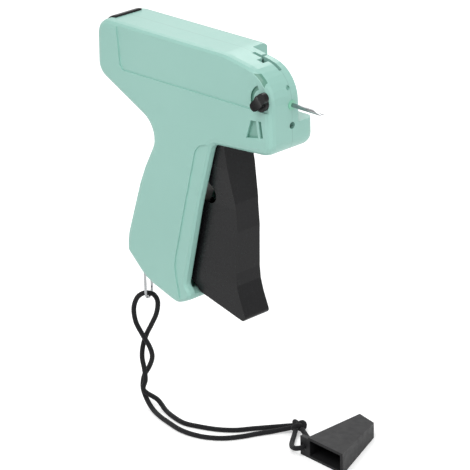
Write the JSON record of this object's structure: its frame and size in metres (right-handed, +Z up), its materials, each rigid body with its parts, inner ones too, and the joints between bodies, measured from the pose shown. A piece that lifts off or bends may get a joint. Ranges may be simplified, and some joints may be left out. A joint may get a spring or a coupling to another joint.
{
  "type": "garment tag attacher",
  "caption": "Pistol-shaped hand tool that pushes plastic tag fasteners through cloth along a slotted needle, with a wrist cord and a tapered needle cap.",
  "frame": {"origin": "middle of the hand grip, on the housing's seam", "axes": "+X towards the needle's tip, along the needle; +Z up, from the heel to the feed mouth; +Y to the gun's left, across the seam"},
  "size_m": [0.1446, 0.0645, 0.203],
  "materials": {
    "shell": "semi-gloss",
    "black": "satin",
    "dark": "satin",
    "white": "satin",
    "green": "semi-gloss",
    "steel": "ground",
    "spring": "drawn",
    "bright": "polished",
    "cord": "braided"
  },
  "bodies": {
    "housing": {"housing_right": "shell", "housing_left": "shell", "housing_screws": "steel", "rear_insert": "black", "trigger_pin": "steel", "return_spring": "spring", "lever_pin": "steel", "feed_track": "white", "feed_shaft": "steel", "cutter_blade": "steel", "needle": "bright", "needle_hub": "green", "ring_pin": "steel", "wrist_ring": "bright", "cord_strand_a": "cord", "cord_strand_b": "cord", "cord_knot": "cord", "cap_loop": "cord", "needle_cap": "black"},
    "trigger": {"trigger": "black"},
    "lever": {"drive_lever": "white", "slide_pin": "steel"},
    "slide": {"slide": "white", "ejector_rod": "steel", "feed_finger": "white"},
    "feed_wheel": {"feed_wheel": "dark"},
    "lock": {"lock_knob": "black", "lock_cam": "white"}
  },
  "joints": [
    {"name": "trigger_squeeze", "type": "hinge", "parent": "housing", "child": "trigger", "pos_m": [0.045, 0, 0.051], "axis": [0, 1, 0], "range_deg": [0, 16], "stiffness_Nm_per_rad": 0.9, "springref_deg": -34.38},
    {"name": "lever_swing", "type": "hinge", "parent": "housing", "child": "lever", "pos_m": [0.016, 0, 0.023], "axis": [0, 1, 0], "range_deg": [0, 45.5]},
    {"name": "slide_stroke", "type": "slide", "parent": "housing", "child": "slide", "axis": [1, 0, 0], "range_m": [0, 0.0402]},
    {"name": "feed_wheel_turn", "type": "hinge", "parent": "housing", "child": "feed_wheel", "pos_m": [0.0545, -0.0057, 0.077], "axis": [1, 0, 0], "range_deg": [0, 36.1]},
    {"name": "knob_turn", "type": "hinge", "parent": "housing", "child": "lock", "pos_m": [0.0694, -0.01, 0.0734], "axis": [0, -1, 0], "range_deg": [0, 90]}
  ],
  "couplings": [
    {"joint": "lever_swing", "follows": "trigger_squeeze", "ratio": 2.8369},
    {"joint": "slide_stroke", "follows": "trigger_squeeze", "m_per_rad": 0.14369},
    {"joint": "feed_wheel_turn", "follows": "trigger_squeeze", "ratio": 2.25}
  ]
}
